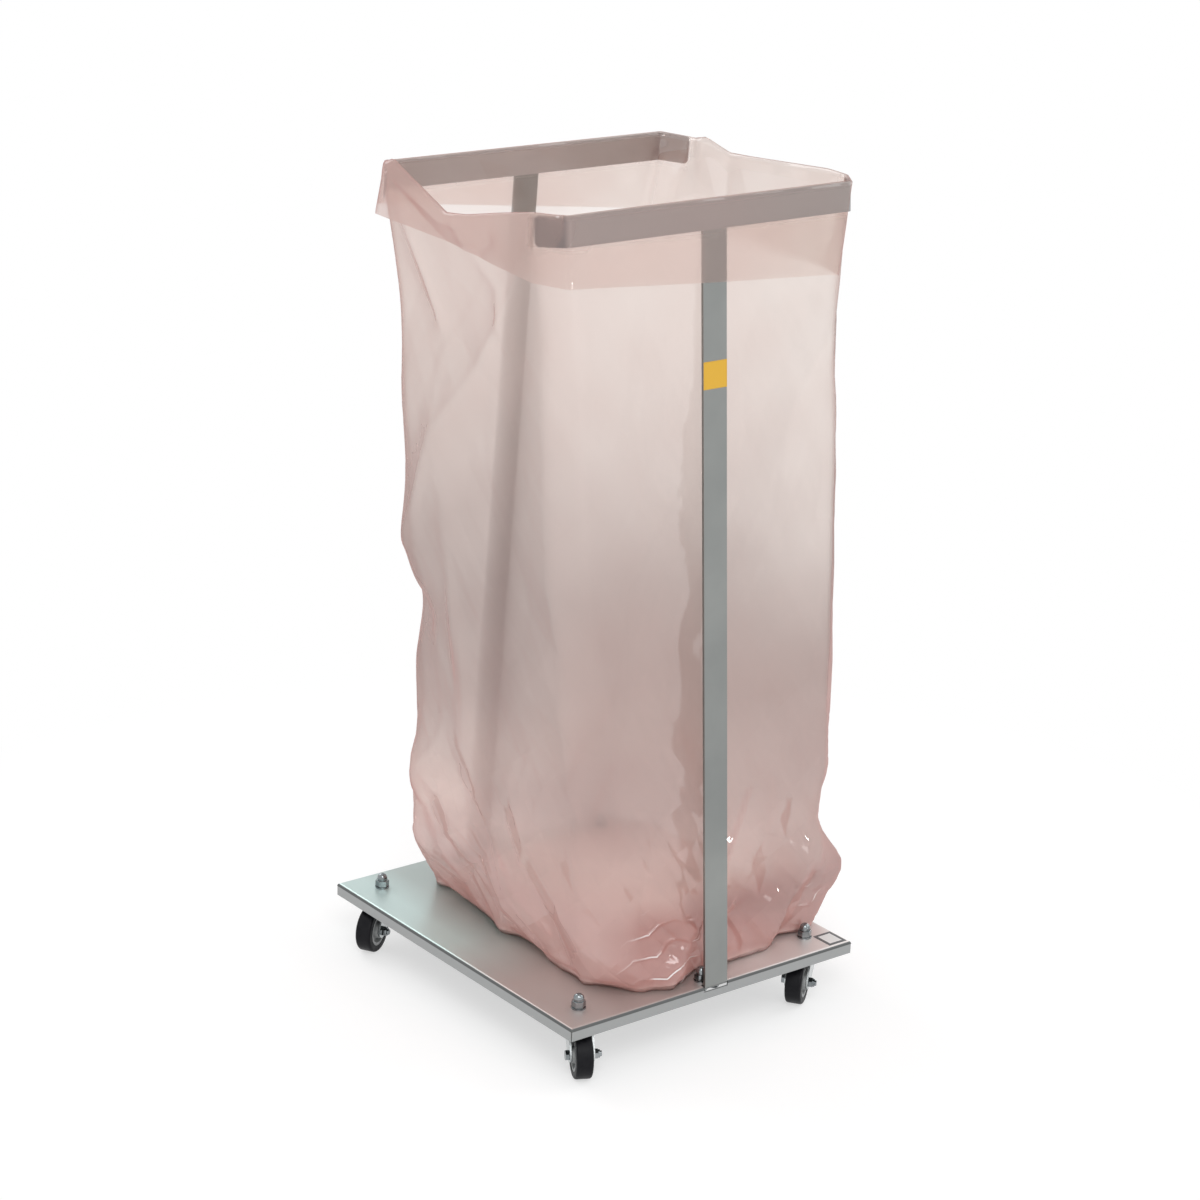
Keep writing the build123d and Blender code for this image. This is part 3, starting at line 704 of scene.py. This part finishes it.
# Creases in the liner: the line's points, width and depth, which is positive where the film stands out
creases = (
    (((-0.186, -0.140, 0.885), (-0.181, -0.075, 0.780), (-0.176, -0.005, 0.690), (-0.172, 0.060, 0.620),
      (-0.172, 0.118, 0.490)), 0.020, 0.010),
    (((-0.190, 0.100, 0.850), (-0.182, 0.045, 0.745)), 0.014, 0.006),
    (((-0.186, -0.020, 0.830), (-0.182, -0.060, 0.800), (-0.178, -0.070, 0.740)), 0.008, 0.004),
    (((-0.162, 0.040, 0.610), (-0.156, 0.045, 0.270)), 0.014, 0.006),
    (((-0.168, 0.100, 0.420), (-0.150, -0.020, 0.180), (-0.125, -0.090, 0.110)), 0.020, 0.005),
    (((-0.150, 0.150, 0.220), (-0.120, 0.060, 0.080)), 0.014, 0.004),
    (((-0.130, -0.150, 0.250), (-0.060, -0.182, 0.075)), 0.022, 0.006),
    (((-0.060, -0.182, 0.078), (0.110, -0.172, 0.230)), 0.018, 0.007),
    (((0.195, -0.120, 0.640), (0.188, -0.128, 0.500), (0.185, -0.130, 0.330), (0.190, -0.140, 0.215)),
     0.016, 0.007),
    (((0.190, -0.140, 0.215), (0.150, -0.170, 0.160), (0.100, -0.182, 0.085)), 0.016, 0.008),
    (((0.060, -0.180, 0.260), (0.020, -0.184, 0.150), (-0.040, -0.182, 0.085)), 0.014, 0.006),
    (((-0.100, -0.165, 0.150), (-0.040, -0.182, 0.110), (0.060, -0.182, 0.120)), 0.012, -0.009),
    (((-0.090, -0.172, 0.120), (-0.050, -0.184, 0.070)), 0.010, 0.009),
    (((-0.020, -0.182, 0.125), (-0.045, -0.184, 0.072)), 0.008, 0.008),
    (((-0.125, -0.120, 0.135), (-0.112, -0.140, 0.072)), 0.010, 0.008),
    (((-0.120, -0.020, 0.120), (-0.104, 0.010, 0.072)), 0.010, 0.007),
    (((0.193, 0.104, 0.880), (0.189, 0.100, 0.845), (0.182, 0.080, 0.790)), 0.006, -0.006),
    (((0.190, 0.124, 0.862), (0.182, 0.136, 0.800), (0.176, 0.130, 0.740)), 0.006, -0.006),
    (((0.176, 0.150, 0.868), (0.160, 0.149, 0.805), (0.148, 0.148, 0.740)), 0.006, -0.005),
)
# Creases in the cuff, given in the same way
cuff_creases = (
    (((-0.198, 0.118, 0.884), (-0.198, 0.070, 0.866), (-0.198, 0.030, 0.850), (-0.198, -0.010, 0.850)),
     0.006, 0.004),
    (((-0.200, 0.110, 0.872), (-0.199, 0.062, 0.848), (-0.198, 0.020, 0.830), (-0.198, -0.035, 0.831),
      (-0.197, -0.052, 0.843)), 0.008, -0.005),
    (((-0.198, 0.000, 0.850), (-0.198, -0.030, 0.800), (-0.198, -0.045, 0.770)), 0.008, 0.003),
    (((0.190, 0.060, 0.870), (0.180, 0.040, 0.810)), 0.008, 0.004),
)
# Tucks and lobes in the liner: middle, radius and shift
tucks = (
    ((-0.165, 0.125, 0.408), 0.032, (0.020, -0.008, 0.0)),
    ((-0.178, 0.120, 0.478), 0.024, (0.002, 0.0, 0.0)),
    ((0.190, -0.140, 0.205), 0.028, (-0.010, 0.004, 0.0)),
    ((0.205, -0.150, 0.118), 0.034, (0.014, 0.000, 0.004)),
    ((0.200, -0.150, 0.080), 0.034, (0.014, -0.004, 0.006)),
)


def layer_count(grid, in_liner):
    """Where the film lies in several layers, from 0 to 1: along the creases, in the cuff, beside the rim at
    the left, and piled up on the front of the deck.

    A crease's share is exp(-(d / 5 mm)^2) at the distance d, or less where the crease starts near the rim.
    The other shares run straight between two places. The largest counts.
    """
    x, y, z = grid[:, :, 0], grid[:, :, 1], grid[:, :, 2]
    layers = np.zeros(grid.shape[:2])
    for line, _, _ in creases + cuff_creases:
        strength = 0.3 if line[0][2] > rim_top - 0.06 else 1.0
        layers = np.maximum(layers, strength * np.exp(-(crease_distance(grid, line) / 0.005) ** 2))
    left = np.clip((-x - 0.165) / 0.02, 0, 1)
    high = np.clip((z - 0.66) / 0.12, 0, 1)
    sagging = left * np.clip((y + 0.10) / 0.06, 0, 1)
    side = np.where(in_liner, 0.24 * left * high, 0.40 + 0.15 * left + 0.35 * sagging)
    pile = np.clip((0.080 - 0.58 * x - y) / 0.03, 0, 1) * np.clip((x + 0.125) / 0.025, 0.15, 1)
    low = np.clip((deck + 0.055 - z) / 0.03, 0, 1)
    lying = np.clip((deck + 0.006 - z) / 0.004, 0, 1)
    return np.maximum(np.maximum(layers, side), np.maximum(pile * low, lying * 0.8))


def outward(grid):
    """Unit normals of rings whose rows go down: the cross product of the steps around and the steps up."""
    around_step = np.roll(grid, -1, axis=1) - np.roll(grid, 1, axis=1)
    down_step = np.gradient(grid, axis=0)
    normal = np.cross(around_step, -down_step)
    return normal / np.linalg.norm(normal, axis=2, keepdims=True).clip(1e-9)


def crease_distance(grid, line):
    """Distance from each point to the nearest stretch of a line, A + (B - A) t with t from 0 to 1."""
    nearest = np.full(grid.shape[:2], 1.0)
    for a, b in zip(np.array(line[:-1]), np.array(line[1:])):
        t = ((grid - a) @ (b - a) / ((b - a) @ (b - a))).clip(0, 1)
        gap = np.linalg.norm(grid - (a + t[:, :, None] * (b - a)), axis=2)
        nearest = np.minimum(nearest, gap)
    return nearest


def crease_push(grid, lines):
    """Each point's push by some creases: the sum of depth exp(-d / width), d being the distance to one."""
    return sum(depth * np.exp(-crease_distance(grid, line) / width) for line, width, depth in lines)


# Facets: turns around the bag, turns from top to bottom, phase, depth high up and near the deck
facet_waves = (
    (13, 4.0, 0.10, 0.0006, 0.0036),
    (-10, 6.5, 0.35, 0.0004, 0.0032),
    (19, -7.0, 0.62, 0.0003, 0.0024),
    (7, 1.0, 0.20, 0.0016, 0.0010),
    (-5, 2.3, 0.80, 0.0014, 0.0018),
)


def facets(liner):
    """Flat facets that meet in straight creases: a sum of triangle waves 4 |t - round(t)| - 1.

    t is turns around times the share of the way round, plus turns down times the share of the way down,
    plus a phase and a slow wander that keeps the creases from being regular. They deepen near the deck, and
    fade out just below the rim.
    """
    rows, columns = liner.shape[:2]
    around_share = np.arange(columns)[None, :] / columns
    down_share = (np.arange(rows) / rows)[:, None]
    wander = 0.16 * np.sin(2 * np.pi * (2 * around_share + 1.7 * down_share))
    wander = wander + 0.10 * np.sin(2 * np.pi * (3 * around_share - 2.6 * down_share + 0.3))
    near_deck = np.clip((deck + 0.24 - liner[:, :, 2]) / 0.16, 0, 1)
    free = np.clip((rim_top - 0.05 - liner[:, :, 2]) / 0.10, 0, 1)
    push = np.zeros((rows, columns))
    for turns_around, turns_down, phase, depth_above, depth_low in facet_waves:
        t = turns_around * around_share + turns_down * down_share + phase + wander
        depth = depth_above + (depth_low - depth_above) * near_deck
        push += depth * (4 * np.abs(t - np.round(t)) - 1)
    return push * free


def fold_film(liner):
    """Push the film along its normals by its facets and creases, then shift it at the tucks.

    A tuck moves each point by shift exp(-(d / radius)^2), where d is the distance to its middle.
    """
    push = facets(liner) + crease_push(liner, creases)
    moved = liner + outward(liner) * push[:, :, None]
    for middle, radius, shift in tucks:
        near = np.exp(-(np.linalg.norm(liner - np.array(middle), axis=2) / radius) ** 2)
        moved += near[:, :, None] * np.array(shift)
    return moved


def film_grid():
    """Rows of film: the cuff from its hem up, the fold, the liner down to the deck, and in to its middle.

    A row of the bottom is middle + (edge - middle) s^0.8, where s falls evenly from 1 to 0.
    """
    liner = fold_film(liner_rows())
    cuff = cuff_rows()
    fold_rise = 0.0012
    crest = (cuff[-1] + liner[0]) / 2
    crest[:, 2] = np.maximum(cuff[-1, :, 2], liner[0, :, 2]) + fold_rise
    shrink = np.linspace(1.0, 0.0, bottom_count + 1)[1:, None, None] ** 0.8
    middle = liner[-1].mean(0)
    bottom = middle + (liner[-1] - middle) * shrink
    return np.concatenate([cuff, crest[None], liner, bottom])


def film_mesh(grid):
    """Quads between neighbouring rows and columns, and a fan of triangles at the bottom's middle."""
    rows, columns = grid.shape[0] - 1, grid.shape[1]
    points = np.concatenate([grid[:rows].reshape(-1, 3), grid[rows].mean(0)[None]])
    row, column = np.meshgrid(np.arange(rows - 1), np.arange(columns), indexing="ij")
    beside = (column + 1) % columns
    faces = np.stack([row * columns + column, row * columns + beside,
                      (row + 1) * columns + beside, (row + 1) * columns + column], -1).reshape(-1, 4)
    last = (rows - 1) * columns + np.arange(columns)
    tip = np.full(columns, len(points) - 1)
    fan = np.stack([last, (rows - 1) * columns + (np.arange(columns) + 1) % columns, tip], -1)
    mesh = bpy.data.meshes.new("film_bag")
    mesh.from_pydata(points.tolist(), [], faces.tolist() + fan.tolist())
    mesh.polygons.foreach_set("use_smooth", np.ones(len(mesh.polygons), bool))
    mesh.update()
    return mesh


def smooth_noise(rng, rows, columns, spread):
    """Seeded noise on the film's grid, averaged over a number of cells and scaled to a spread of 1."""
    rough = rng.normal(size=(rows, columns, 1))
    soft = blur(blur(rough, spread, 1, True), spread, 0, False)
    return soft / soft.std()


def drape(start, growth, hold):
    """Let film that is longer than its place fold up: a net of links that keep their lengths.

    Each link from A to B is as long as at the start, times 1 + growth. Every step moves both its ends by a
    share of (|B - A| - length) (B - A) / |B - A|, and then draws each point back to its start by hold.
    """
    # Rows down, samples along and stiffness: to neighbours, diagonally, and two apart against bending
    kinds = ((0, 1, 1.0), (1, 0, 1.0), (1, 1, 0.6), (1, -1, 0.6), (2, 0, 0.08), (0, 2, 0.08))
    links = []
    for down, along, stiffness in kinds:
        upper, lower = slice(0, len(start) - down), slice(down, len(start))
        reach = np.roll(start, -along, axis=1)[lower] - start[upper]
        grown = 1 + (growth[upper] + np.roll(growth, -along, axis=1)[lower]) / 2
        links.append((upper, lower, along, stiffness, np.linalg.norm(reach, axis=2) * grown))
    rng = np.random.default_rng(7)
    free = np.clip(growth / growth.max(), 0, 1)[:, :, None]
    # The long and the short ripples that the folds start from: size, and spread in samples
    waves = ((0.0050, 12.0), (0.0008, 5.0))
    ripple = sum(size * smooth_noise(rng, *hold.shape, spread) for size, spread in waves)
    points = start + outward(start) * ripple * free
    steps = 320
    for _ in range(steps):
        for upper, lower, along, stiffness, length in links:
            reach = np.roll(points, -along, axis=1)[lower] - points[upper]
            now = np.linalg.norm(reach, axis=2).clip(1e-9)
            move = reach * (0.25 * stiffness * (now - length) / now)[:, :, None]
            points[upper] += move
            points[lower] -= np.roll(move, along, axis=1)
        points += (start - points) * hold[:, :, None]
    return points


def keep_clear(points, in_liner):
    """Hold the liner inside the frames, and all film above the deck and near the tray's right side.

    Beyond the place where X begins to ease, it grows as easing tanh(over / easing).
    """
    frame_gap, deck_gap = 0.0006, 0.0004
    plane = rim_half_depth + (rim_top - points[:, :, 2]) * lean - bar_thickness - frame_gap
    inside = np.clip(points[:, :, 1], -plane, plane)
    points[:, :, 1] = np.where(in_liner, inside, points[:, :, 1])
    points[:, :, 2] = np.maximum(points[:, :, 2], deck + deck_gap)
    furthest, easing = 0.2262, 0.010
    over = (points[:, :, 0] - furthest + easing).clip(0)
    points[:, :, 0] -= over - easing * np.tanh(over / easing)
    return points


def settle(grid, in_liner):
    """Drape the film: held fast on the bars, loosely below them, and with most slack near the deck.

    A point moves by at most the limit: its shift's size becomes limit tanh(size / limit).
    """
    down = rim_top - grid[:, :, 2]
    on_bar = (np.abs(grid[:, :, 1]) > bar_from) & (down < 0.034)
    # the share of the way back to its place by which a step draws each point
    liner_hold, cuff_hold, bar_hold, foot_hold = 0.003, 0.05, 0.9, 0.03
    hold = np.where(in_liner, liner_hold + 0.5 * np.clip(1 - (down - 0.032) / 0.04, 0, 1), cuff_hold)
    hold = np.where(on_bar, bar_hold, hold)
    hold = np.where(down > rim_rise - 0.010, foot_hold, hold)
    # how much longer the film is than its place, as a share
    liner_slack, low_slack, cuff_slack = 0.005, 0.011, 0.006
    low = np.clip((down - 0.52) / 0.22, 0, 1)
    growth = np.where(in_liner, liner_slack + low_slack * low, cuff_slack) * ~on_bar
    shift = drape(grid, growth, hold) - grid
    size = np.linalg.norm(shift, axis=2, keepdims=True).clip(1e-9)
    limit = 0.016
    return keep_clear(grid + shift * limit * np.tanh(size / limit) / size, in_liner)


def make_bag():
    """The bag as one sheet, with how much it touches the bars and how many layers it has at each point."""
    grid = film_grid()
    in_liner = np.broadcast_to((np.arange(len(grid)) > cuff_count)[:, None], grid.shape[:2])
    down = rim_top - grid[:, :, 2]
    contact = (np.abs(grid[:, :, 1]) > bar_from) & (down < 0.033) & (down > 0.001)
    layers = layer_count(grid, in_liner)
    grid = settle(grid, in_liner)
    mesh = film_mesh(grid)
    for name, values in (("contact", contact), ("layers", layers)):
        attribute = mesh.attributes.new(name, "FLOAT", "POINT")
        # the bottom's last row is a single point
        values = np.append(values[:-1].ravel(), values[-2, 0])
        attribute.data.foreach_set("value", values.astype(np.float32))
    bag = bpy.data.objects.new("film_bag", mesh)
    bpy.context.scene.collection.objects.link(bag)
    mesh.materials.append(film())
    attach(bag, "root")
    # unrolled, the bag's wall is 1.38 m around and 0.96 m long with its share of the bottom
    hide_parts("bag")


make_studio()
finish_metal()
finish_labels()
make_bag()
